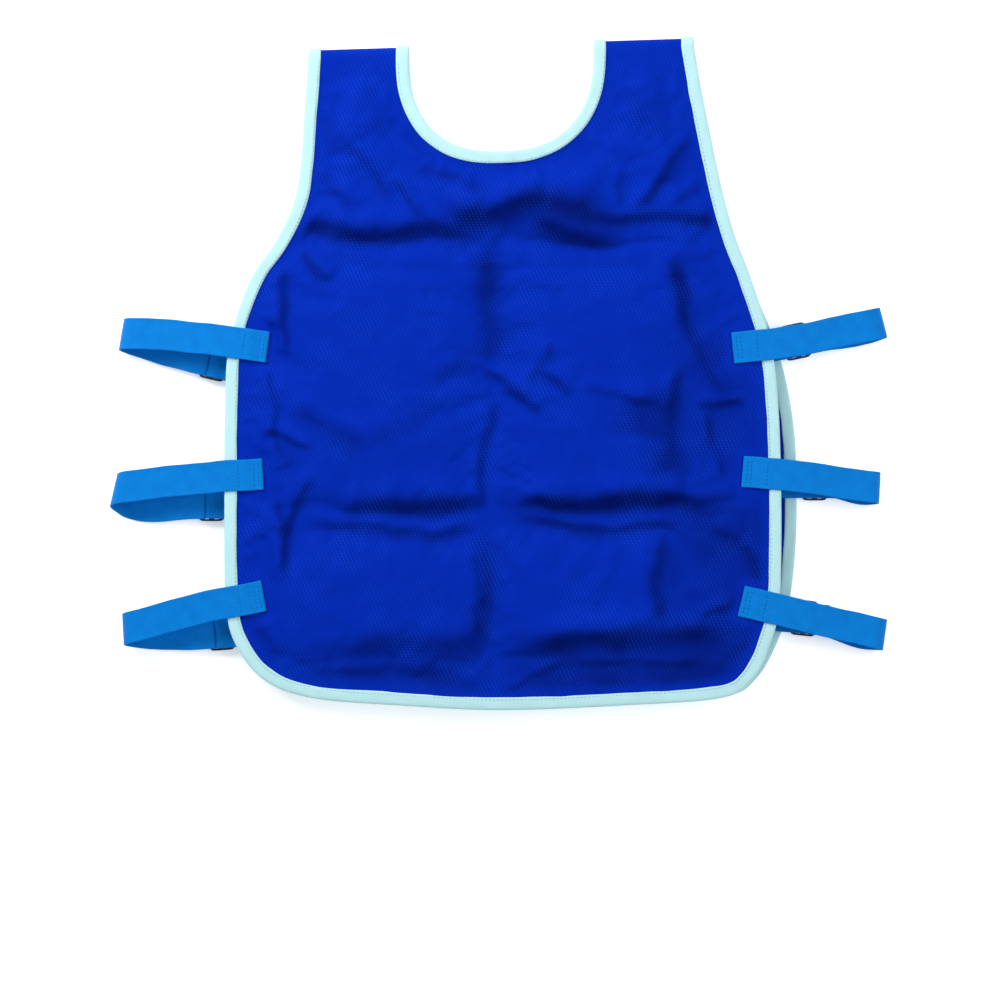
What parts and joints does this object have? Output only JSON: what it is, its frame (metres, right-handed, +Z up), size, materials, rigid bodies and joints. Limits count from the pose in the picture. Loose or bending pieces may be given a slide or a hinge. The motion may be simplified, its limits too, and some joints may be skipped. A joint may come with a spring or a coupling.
{
  "type": "cooling vest",
  "caption": "Padded mesh tabard vest laid flat, bound with tape, with open torso and neck and three webbing side loops on slide buckles each side.",
  "frame": {"origin": "under the middle of the vest's box, on the surface that the vest lies on", "axes": "+X across the vest towards the picture's right, +Y from hem to shoulders, +Z up from the surface, through the back panel to the front panel"},
  "size_m": [0.6254, 0.5402, 0.0312],
  "materials": {
    "mesh_cloth": "royal blue warp-knitted polyester mesh, padded",
    "binding_tape": "pale aqua polyester bias tape",
    "webbing": "bright blue woven polypropylene webbing",
    "black_plastic": "moulded black acetal"
  },
  "bodies": {
    "root": {"front_panel": "mesh_cloth", "back_panel": "mesh_cloth", "edge_binding": "binding_tape", "neck_binding": "binding_tape", "strap_left_top": "webbing", "strap_left_middle": "webbing", "strap_left_bottom": "webbing", "strap_right_top": "webbing", "strap_right_middle": "webbing", "strap_right_bottom": "webbing", "tab_left_top": "webbing", "tab_left_middle": "webbing", "tab_left_bottom": "webbing", "tab_right_top": "webbing", "tab_right_middle": "webbing", "tab_right_bottom": "webbing", "slider_left_top": "black_plastic", "slider_left_middle": "black_plastic", "slider_left_bottom": "black_plastic", "slider_right_top": "black_plastic", "slider_right_middle": "black_plastic", "slider_right_bottom": "black_plastic"}
  },
  "joints": []
}
